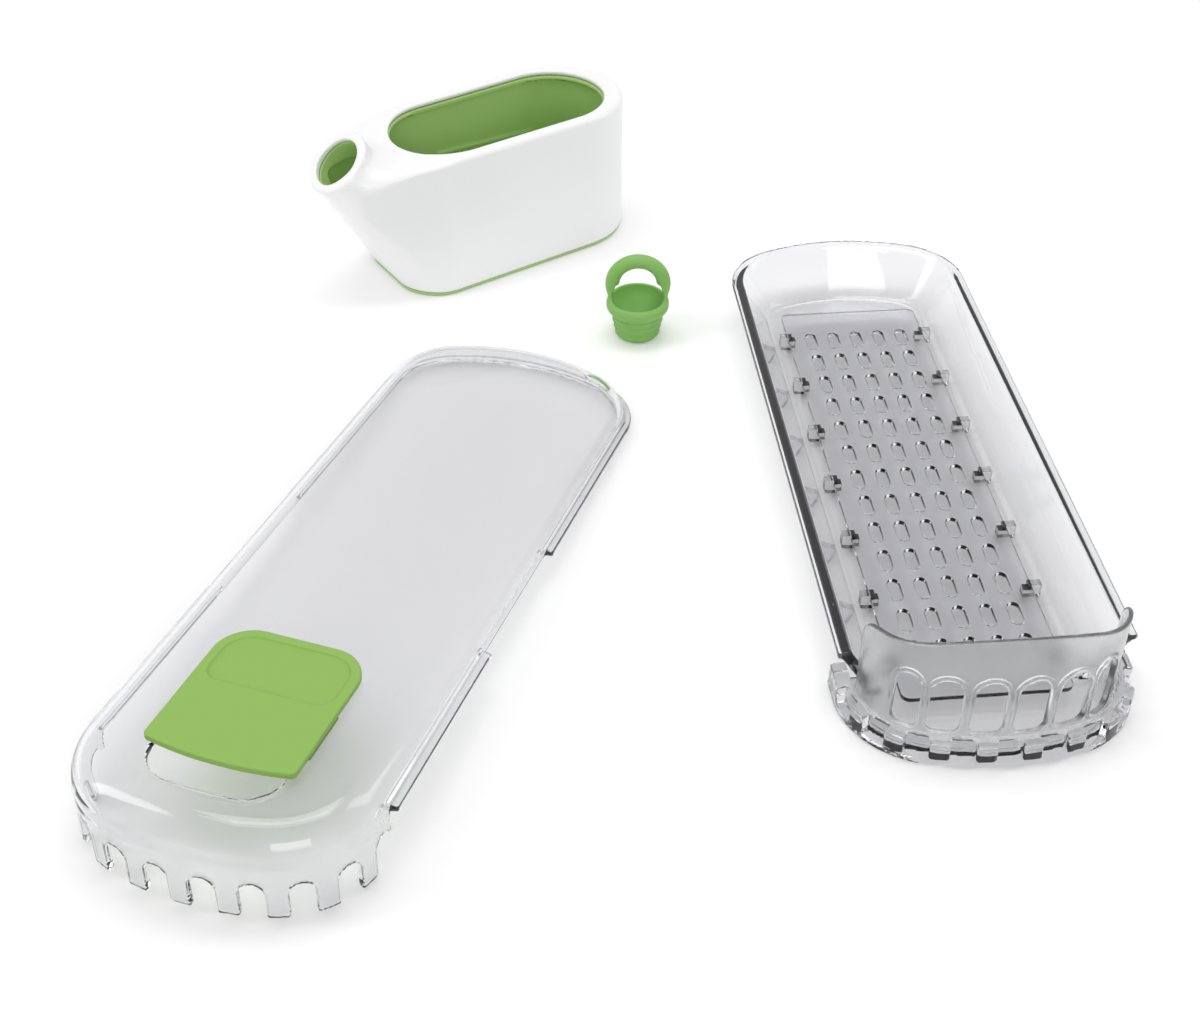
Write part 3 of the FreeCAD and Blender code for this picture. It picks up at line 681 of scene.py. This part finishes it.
def stopper_field(x, y, z):
    """The stopper: a ribbed shank that flares to a collar, a pull ring grown out of it, a hollow bowl.

    The ribs are squared cosine waves up the shank. The bowl is an ellipsoid, with a cone that narrows
    upwards above the collar. The shank's side and the ellipsoid are scaled down a little, so that
    neither is steeper than a true distance.
    """
    sizes = bpy.context.scene.herb_stopper
    scale = 0.9
    rib_start = 0.62
    shank_past = 0.002
    shank_round = 0.0008
    collar_round = 0.0028
    collar_fillet = 0.001
    ring_fillet = 0.0025
    bowl_raise = 0.0006
    bowl_cone = 0.25
    bowl_edge = 0.0008
    away = np.hypot(x, y)
    up = np.clip(z / sizes.shank, 0, 1)
    rib_pitch = sizes.shank / max(sizes.ribs, 1)
    rib_wave = np.maximum(0, np.cos(2 * math.pi * (z / rib_pitch - rib_start))) ** 2
    rib_wave = rib_wave * (z > 0) * (z < sizes.shank)
    taper = (sizes.shank_top - sizes.shank_tip) * up
    shank_side = away - sizes.shank_tip - taper - sizes.rib * rib_wave
    shank = both(shank_side * scale, slab(z, 0.0, sizes.shank + shank_past), shank_round)
    middle = (sizes.shank + sizes.collar_top) / 2
    tall = (sizes.collar_top - sizes.shank) / 2
    collar = both(away - sizes.collar, np.abs(z - middle) - tall, collar_round)
    body = either(shank, collar, collar_fillet)
    around = np.hypot(x, z - sizes.ring_height) - sizes.ring
    ring = np.hypot(around, y) - sizes.ring_section
    body = either(body, ring, ring_fillet)
    below = (z - sizes.collar_top - bowl_raise) / sizes.bowl_depth
    bowl = (np.hypot(away / sizes.bowl, below) - 1) * sizes.bowl * scale
    cone = away - sizes.bowl + bowl_cone * (z - sizes.collar_top)
    bowl = np.where(z > sizes.collar_top, np.minimum(bowl, cone), bowl)
    bowl = np.maximum(bowl, z - sizes.ring_height)
    return without(body, bowl, bowl_edge)


class HERB_OT_stopper(bpy.types.Operator):
    """Add the soft stopper with its pull ring."""

    bl_idname = "herb.stopper"
    bl_label = "Add the stopper"

    def execute(self, context):
        sizes = context.scene.herb_stopper
        place = Matrix.Translation((sizes.aside, -sizes.front, 0))
        low = (-0.014, -0.014, -0.001)
        high = (0.014, 0.014, 0.037)
        step = 0.0004
        piece = field_piece("stopper", stopper_field, low, high, step, place, soft_green())
        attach(piece, "stopper")
        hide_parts("fill_stopper")
        return {"FINISHED"}


# The cover and its door


def cover_field(x, y, z):
    """The clear cover: a dome with a round shoulder, a skirt cut into teeth, a rim flange, a window."""
    sizes = bpy.context.scene.herb_cover
    pod = bpy.context.scene.herb_pod
    crown_fall = 0.0006
    edge = 0.0006
    inner_edge = 0.0002
    flange_edge = 0.0005
    notch_reach = 0.013
    notch_past = 0.004
    last_start = 0.0045
    last_drop = 0.0075
    last_past = 0.01
    last_edge = 0.0008
    slot_aside = 0.03
    slot_height = 0.0055
    slot_half = 0.0055
    slot_tall = 0.002
    slot_corner = 0.0012
    slot_edge = 0.0004
    slot_wall = 0.03
    tooth_trim = 0.002
    window_depth = 0.005
    outline = pod_outline(x, y)
    side = outline + sizes.draft * np.clip(z / sizes.rise, 0, 1)
    crown = crown_fall * (x / pod.half_width) ** 2
    top = z - sizes.rise + crown
    outer = both(side, top, sizes.shoulder)
    inner = both(side + pod.wall, top + pod.wall, sizes.shoulder - pod.wall)
    shell = without(outer, inner, inner_edge)
    foot = comb_place(LAST_TOOTH * pod.pitch - tooth_trim)
    below = np.minimum(-z, np.maximum(-sizes.drop - z, y - foot))
    shell = both(shell, below, edge)
    ring = np.abs(outline + pod.wall / 2 - sizes.flange / 2) - (sizes.flange + pod.wall) / 2
    flange = both(ring, slab(z, 0, sizes.flange_thick), flange_edge)
    flange = both(flange, foot - y, edge)
    grip_middle = (sizes.gap_start + sizes.gap_end) / 2
    grip_half = (sizes.gap_end - sizes.gap_start) / 2
    flange = without(flange, np.abs(y - grip_middle) - grip_half, edge)
    shell = either(shell, flange, edge)
    along = comb_along(x, y)
    nearest = nearest_of(along, pod.pitch, 2 * LAST_TOOTH)
    gaps = arch(nearest, z, sizes.notch / 2, sizes.notch_height - sizes.drop)
    gaps = np.maximum(gaps, np.maximum(-notch_reach - outline, y - foot - notch_past))
    shell = without(shell, gaps, edge)
    last = np.maximum(LAST_TOOTH * pod.pitch - last_start - np.abs(along), z + last_drop)
    shell = without(shell, np.maximum(last, y - foot - last_past), last_edge)
    shell = without(shell, np.maximum(window_area(x, y), window_depth - z), flange_edge)
    slot = rounded_box(x - slot_aside, z - slot_height, slot_half, slot_tall, slot_corner)
    return without(shell, np.maximum(slot, pod.length - slot_wall - y), slot_edge)


def window_area(x, y):
    """Distance to the window's outline, a rectangle with round corners and a bowed near edge."""
    sizes = bpy.context.scene.herb_cover
    bow_depth = 0.0025
    corner = 0.009
    shift = 0.001
    middle = sizes.window_start + sizes.window_length / 2
    near = y < middle
    bow = bow_depth * (1 - (x / (sizes.window_width / 2)) ** 2) * near
    along = y + bow - middle - shift
    return rounded_box(x, along, sizes.window_width / 2, sizes.window_length / 2, corner)


def door_field(x, y, z):
    """The vent door: a plate with two round far corners and a bowed near edge, a recess, two hooks."""
    sizes = bpy.context.scene.herb_cover
    pod = bpy.context.scene.herb_pod
    running_gap = 0.0002
    near_corner = 0.0016
    edge = 0.0006
    recess_margin = 0.0032
    recess_length = 0.021
    recess_corner = 0.005
    recess_edge = 0.0005
    play = 0.0003
    leg_inset = 0.009
    leg_end_play = 0.0006
    leg_length = 0.018
    leg_overlap = 0.001
    under = sizes.rise + running_gap
    start = sizes.window_start + sizes.door_open - (sizes.door_length - sizes.window_length) / 2
    half = sizes.door_width / 2
    middle = start + sizes.door_length / 2
    bow = sizes.door_length / 20 * (1 - (x / half) ** 2)
    far = rounded_box(x, y - middle, half, sizes.door_length / 2, sizes.door_corner)
    near = rounded_box(x, y + bow - middle, half, sizes.door_length / 2, near_corner)
    outline = np.where(y > middle, far, near)
    plate = both(outline, slab(z, under, under + sizes.door_thick), edge)
    centre = start + sizes.door_length - recess_margin - recess_length / 2
    corner = np.where(y > centre, sizes.door_corner - recess_margin, recess_corner)
    recess = rounded_box(x, y - centre, half - recess_margin, recess_length / 2, corner)
    floor = under + sizes.door_thick - sizes.recess
    plate = without(plate, both(recess, floor - z, edge), recess_edge)
    leg_outer = sizes.window_width / 2 - play
    leg_start = sizes.window_start + leg_inset + sizes.door_open + leg_end_play
    leg_low = sizes.rise - pod.wall - play - sizes.door_thick / 2
    along = slab(y, leg_start, leg_start + leg_length)
    leg_across = slab(np.abs(x), leg_outer - pod.wall, leg_outer)
    leg = np.maximum(np.maximum(leg_across, slab(z, leg_low, under + leg_overlap)), along)
    lip_across = slab(np.abs(x), leg_outer - pod.wall, leg_outer + pod.wall)
    lip = np.maximum(np.maximum(lip_across, slab(z, leg_low, leg_low + sizes.door_thick / 2)), along)
    return np.minimum(plate, np.minimum(leg, lip))


class HERB_OT_cover(bpy.types.Operator):
    """Add the clear cover and its sliding vent door."""

    bl_idname = "herb.cover"
    bl_label = "Add the cover"

    def execute(self, context):
        low = (-0.0505, -0.002, -0.0185)
        high = (0.0505, 0.275, 0.014)
        step = 0.001
        cover = field_piece("cover", cover_field, low, high, step, cover_place(), clear_plastic())
        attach(cover, "cover")
        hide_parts("cover_shell")
        low = (-0.0245, 0.02, 0.0065)
        high = (0.0245, 0.081, 0.0165)
        step = 0.0005
        door = field_piece("door", door_field, low, high, step, cover_place(), green_door())
        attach(door, "door")
        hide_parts("vent_door")
        return {"FINISHED"}


# The tray, its cage and its grid


def tray_field(x, y, z):
    """The clear tray: leaning walls and a rim, open at the comb end, with blocks round a ledge there."""
    sizes = bpy.context.scene.herb_tray
    pod = bpy.context.scene.herb_pod
    floor_round = 0.0015
    inner_round = 0.003
    inner_edge = 0.0004
    edge = 0.0006
    rim_round = 0.0007
    fillet = 0.0008
    ledge_edge = 0.0005
    pockets = 9
    pocket_half = 0.00385
    plain = pod_outline(x, y)
    lean = sizes.lean * np.clip(1 - z / sizes.depth, 0, 1)
    inner_lean = sizes.lean * np.clip(1 - (z - sizes.floor) / sizes.depth, 0, 1)
    slope = math.hypot(1, sizes.lean / sizes.depth)
    outer = both(pod_outline(x, y, lean) / slope, -z, floor_round)
    inner = both(pod_outline(x, y, inner_lean) / slope + pod.wall, sizes.floor - z, inner_round)
    tub = without(outer, inner, inner_edge)
    tub = both(tub, z - sizes.depth, edge)
    rim_height = slab(z, sizes.depth - pod.wall, sizes.depth)
    rim = both(np.abs(plain + pod.wall) - pod.wall, rim_height, rim_round)
    tub = either(tub, rim, fillet)
    side = comb_place(LAST_BLOCK * pod.pitch)
    tub = without(tub, np.maximum(y - side, sizes.floor - z), fillet)
    reach = side + sizes.cage_inset + sizes.cage_wall
    ledge = both(both(plain, slab(z, 0, sizes.floor), rim_round), y - reach, ledge_edge)
    half_band = (sizes.block_depth + pod.wall) / 2
    band = np.abs(plain + half_band) - half_band
    blocks = both(both(band, slab(z, 0, sizes.block), rim_round), y - reach, ledge_edge)
    pocket = np.abs(nearest_of(comb_along(x, y), pod.pitch, pockets)) - pocket_half
    pocket = np.maximum(np.maximum(pocket, -plain - sizes.block_depth), sizes.floor - z)
    blocks = without(blocks, pocket, edge)
    return either(tub, either(ledge, blocks, edge), edge)


def cage_field(x, y, z):
    """The stem cage: a curved band with a crowned top, on posts between arches that widen at the foot.

    A bead round each arch thickens the band by a bell curve of the distance from the arch's edge.
    """
    sizes = bpy.context.scene.herb_tray
    pod = bpy.context.scene.herb_pod
    widening = 0.1
    sill_round = 0.003
    half_thick = 0.0007
    bead = 0.0003
    bead_aside = 0.0009
    bead_width = 0.0008
    corner_round = 0.009
    foot_edge = 0.0002
    arch_edge = 0.0004
    edge = 0.0006
    plain = pod_outline(x, y) + sizes.cage_inset + sizes.cage_wall / 2
    along = comb_along(x, y)
    side = comb_place(LAST_BLOCK * pod.pitch)
    offset = nearest_of(along, pod.pitch, sizes.arch_count)
    below = np.clip((sizes.arch_top - z) / sizes.arch_top, 0, 1)
    half = sizes.arch / 2 * (1 + widening * below)
    gap = arch(offset, z, half, sizes.arch_top)
    gap = both(gap, sizes.sill - z, sill_round)
    thick = half_thick + bead * np.exp(-((gap - bead_aside) / bead_width) ** 2)
    aside = x / (pod.half_width - sizes.cage_inset)
    crown = sizes.cage_top - (sizes.cage_top - sizes.cage_side) * aside ** 2
    face = both(both(z - crown, y - side, corner_round), sizes.floor - z, foot_edge)
    face = without(face, gap, arch_edge)
    return both(np.abs(plain) - thick, face, edge)


def grid_plate(material):
    """The drip grid: a flat outline with rows of round-ended slots, with a thickness and a bevel."""
    sizes = bpy.context.scene.herb_tray
    pod = bpy.context.scene.herb_pod
    half_x = pod.half_width - sizes.lean - sizes.grid_side
    half_y = (pod.length - sizes.grid_start - sizes.grid_far) / 2
    bevel = 0.0002
    plate_corner = 0.003
    corners = 24
    flat = bpy.data.curves.new("grid_outline", "CURVE")
    flat.dimensions = "2D"
    flat.fill_mode = "BOTH"
    flat.extrude = sizes.grid_thick / 2 - bevel
    flat.bevel_depth = bevel
    flat.bevel_resolution = 1
    flat.offset = -bevel
    outlines = [(0.0, 0.0, half_x, half_y, plate_corner)]
    for row in range(sizes.slots_across):
        for column in range(sizes.slots_along):
            across = (row - (sizes.slots_across - 1) / 2) * sizes.slot_row
            along = (column - (sizes.slots_along - 1) / 2) * sizes.slot_pitch
            half_slot = sizes.slot_width / 2
            outlines.append((across, along, half_slot, sizes.slot_length / 2, half_slot))
    for across, along, wide, tall, corner in outlines:
        turns = np.linspace(0, 2 * math.pi, corners, endpoint=False) + math.pi / corners
        spline = flat.splines.new("POLY")
        spline.points.add(len(turns) - 1)
        xs = across + np.sign(np.cos(turns)) * (wide - corner) + corner * np.cos(turns)
        ys = along + np.sign(np.sin(turns)) * (tall - corner) + corner * np.sin(turns)
        places = np.stack([xs, ys, np.zeros(corners), np.ones(corners)], 1)
        spline.points.foreach_set("co", places.astype(np.float32).ravel())
        spline.use_cyclic_u = True
    holder = bpy.data.objects.new("grid_outline", flat)
    bpy.context.scene.collection.objects.link(holder)
    graph = bpy.context.evaluated_depsgraph_get()
    mesh = bpy.data.meshes.new_from_object(holder.evaluated_get(graph))
    bpy.data.objects.remove(holder)
    lift = sizes.floor + sizes.grid_lift + sizes.grid_thick / 2
    mesh.transform(tray_place() @ Matrix.Translation((0, sizes.grid_start + half_y, lift)))
    mesh.materials.clear()
    mesh.materials.append(material)
    piece = bpy.data.objects.new("grid", mesh)
    bpy.context.scene.collection.objects.link(piece)
    return piece


class HERB_OT_tray(bpy.types.Operator):
    """Add the clear tray, its stem cage and its drip grid, and finish the clips."""

    bl_idname = "herb.tray"
    bl_label = "Add the tray"

    def execute(self, context):
        place = tray_place()
        low = (-0.0475, -0.001, -0.001)
        high = (0.0475, 0.272, 0.0215)
        step = 0.00105
        tray = field_piece("tray", tray_field, low, high, step, place, clear_plastic())
        low = (-0.0415, 0.005, 0.001)
        high = (0.0415, 0.034, 0.048)
        step = 0.0006
        cage = field_piece("cage", cage_field, low, high, step, place, frosted_clear())
        grid = grid_plate(clear_plastic())
        for piece, replaced, slot in (
                (tray, "tray_shell", "clear_plastic"), (cage, "stem_cage", "frosted_clear"),
                (grid, "drip_grid", "clear_plastic")):
            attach(piece, "tray")
            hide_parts(replaced)
        finish_node("grid_clips", clear_plastic())
        return {"FINISHED"}


# The stage


def lamp(name, place, target, energy, size):
    """A rectangular lamp that points at a target, in metres and watts."""
    data = bpy.data.lights.new(name, "AREA")
    data.energy = energy
    data.shape = "RECTANGLE"
    data.size, data.size_y = size
    made = bpy.data.objects.new(name, data)
    made.location = place
    made.rotation_euler = (Vector(target) - Vector(place)).to_track_quat("-Z", "Y").to_euler()
    bpy.context.scene.collection.objects.link(made)


def white_where_seen(tree):
    """One where a ray comes from the camera, off a mirror or through clear plastic, else zero."""
    path = node(tree, "ShaderNodeLightPath")
    seen = node(tree, "ShaderNodeMath", {"operation": "MAXIMUM"})
    tree.links.new(path.outputs["Is Camera Ray"], seen.inputs[0])
    tree.links.new(path.outputs["Is Glossy Ray"], seen.inputs[1])
    through = node(tree, "ShaderNodeMath", {"operation": "MAXIMUM"})
    tree.links.new(seen.outputs[0], through.inputs[0])
    tree.links.new(path.outputs["Is Transmission Ray"], through.inputs[1])
    return through.outputs[0]


def add_floor(paint):
    """A matt card just under everything, with a little light of its own where it is seen."""
    drop = 0.0002
    own_light = 0.07
    corners = np.array([(-3, -3, 0), (3, -3, 0), (3, 3, 0), (-3, 3, 0)], float) - (0, 0, drop)
    material = bpy.data.materials.new("Matt white card")
    material.use_nodes = True
    tree = material.node_tree
    tree.nodes.clear()
    matt = node(tree, "ShaderNodeBsdfDiffuse", Color=paint)
    scaled = node(tree, "ShaderNodeMath", {"operation": "MULTIPLY"})
    tree.links.new(white_where_seen(tree), scaled.inputs[0])
    scaled.inputs[1].default_value = own_light
    glow = node(tree, "ShaderNodeEmission", Strength=scaled.outputs[0])
    added = node(tree, "ShaderNodeAddShader")
    tree.links.new(matt.outputs[0], added.inputs[0])
    tree.links.new(glow.outputs[0], added.inputs[1])
    node(tree, "ShaderNodeOutputMaterial", Surface=added.outputs[0])
    floor = add_piece("floor", corners, np.array([[0, 1, 2, 3]]), Matrix.Identity(4), material)


def add_room(scene):
    """An even pale light from all round, and plain white where it is seen."""
    room_strength = 0.62
    world = bpy.data.worlds.new("Pale room")
    scene.world = world
    world.use_nodes = True
    tree = world.node_tree
    tree.nodes.clear()
    room = node(tree, "ShaderNodeBackground", Color=colour("#FFFFFF"), Strength=room_strength)
    white = node(tree, "ShaderNodeBackground", Color=colour("#FFFFFF"), Strength=1.0)
    mix = node(tree, "ShaderNodeMixShader", Fac=white_where_seen(tree))
    tree.links.new(room.outputs[0], mix.inputs[1])
    tree.links.new(white.outputs[0], mix.inputs[2])
    node(tree, "ShaderNodeOutputWorld", Surface=mix.outputs[0])


def add_camera(scene, sizes):
    """The camera in front of the pieces, looking down at them by its pitch."""
    data = bpy.data.cameras.new("camera")
    data.sensor_width = 36
    data.lens = sizes.lens
    data.clip_start = 0.01
    camera = bpy.data.objects.new("camera", data)
    camera.location = (0.045, -0.633, 0.372)
    camera.rotation_euler = Euler((math.pi / 2 - sizes.pitch, 0, 0))
    scene.collection.objects.link(camera)
    scene.camera = camera


class HERB_OT_stage(bpy.types.Operator):
    """Add the pale floor, the soft lamps and the camera."""

    bl_idname = "herb.stage"
    bl_label = "Add the stage"

    def execute(self, context):
        sizes = context.scene.herb_stage
        add_floor(sizes.floor)
        add_room(context.scene)
        middle = (0.05, -0.15, 0)
        lamp("overhead", (0.0, 0.1, 1.3), middle, 4.6, (0.9, 0.5))
        lamp("left", (-1.1, -0.3, 0.9), middle, 3.2, (0.35, 1.0))
        lamp("right", (1.2, 0.1, 0.8), middle, 2.0, (0.35, 1.0))
        lamp("front", (0.3, -1.6, 0.8), middle, 5.0, (1.0, 0.6))
        add_camera(context.scene, sizes)
        context.scene.view_settings.view_transform = "Standard"
        return {"FINISHED"}


class HERB_PT_panel(bpy.types.Panel):
    """The pieces of the herb keeper, each with its button and its sizes."""

    bl_label = "Herb keeper"
    bl_idname = "HERB_PT_panel"
    bl_space_type = "VIEW_3D"
    bl_region_type = "UI"
    bl_category = "Herb keeper"

    def draw(self, context):
        for operator, group in (
                ("herb.tank", "herb_tank"), ("herb.stopper", "herb_stopper"),
                ("herb.cover", "herb_cover"), ("herb.tray", "herb_tray"),
                (None, "herb_pod"), ("herb.stage", "herb_stage")):
            box = self.layout.box()
            if operator:
                box.operator(operator)
            sizes = getattr(context.scene, group)
            for name in type(sizes).__annotations__:
                box.prop(sizes, name)


GROUPS = {
    "herb_tank": TankSizes,
    "herb_stopper": StopperSizes,
    "herb_pod": PodSizes,
    "herb_cover": CoverSizes,
    "herb_tray": TraySizes,
    "herb_stage": StageSizes,
}
OTHERS = (HERB_OT_tank, HERB_OT_stopper, HERB_OT_cover, HERB_OT_tray, HERB_OT_stage, HERB_PT_panel)


def register():
    """Register the classes and hang the sizes on the scene."""
    for made in (*GROUPS.values(), *OTHERS):
        bpy.utils.register_class(made)
    for name, group in GROUPS.items():
        setattr(bpy.types.Scene, name, PointerProperty(type=group))


def unregister():
    """Take the sizes off the scene and unregister the classes."""
    for name in GROUPS:
        delattr(bpy.types.Scene, name)
    for made in reversed((*GROUPS.values(), *OTHERS)):
        bpy.utils.unregister_class(made)


def main():
    """Register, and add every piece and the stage."""
    register()
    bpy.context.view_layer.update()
    bpy.ops.herb.tank()
    bpy.ops.herb.stopper()
    bpy.ops.herb.cover()
    bpy.ops.herb.tray()
    bpy.ops.herb.stage()


if __name__ == "__main__":
    main()
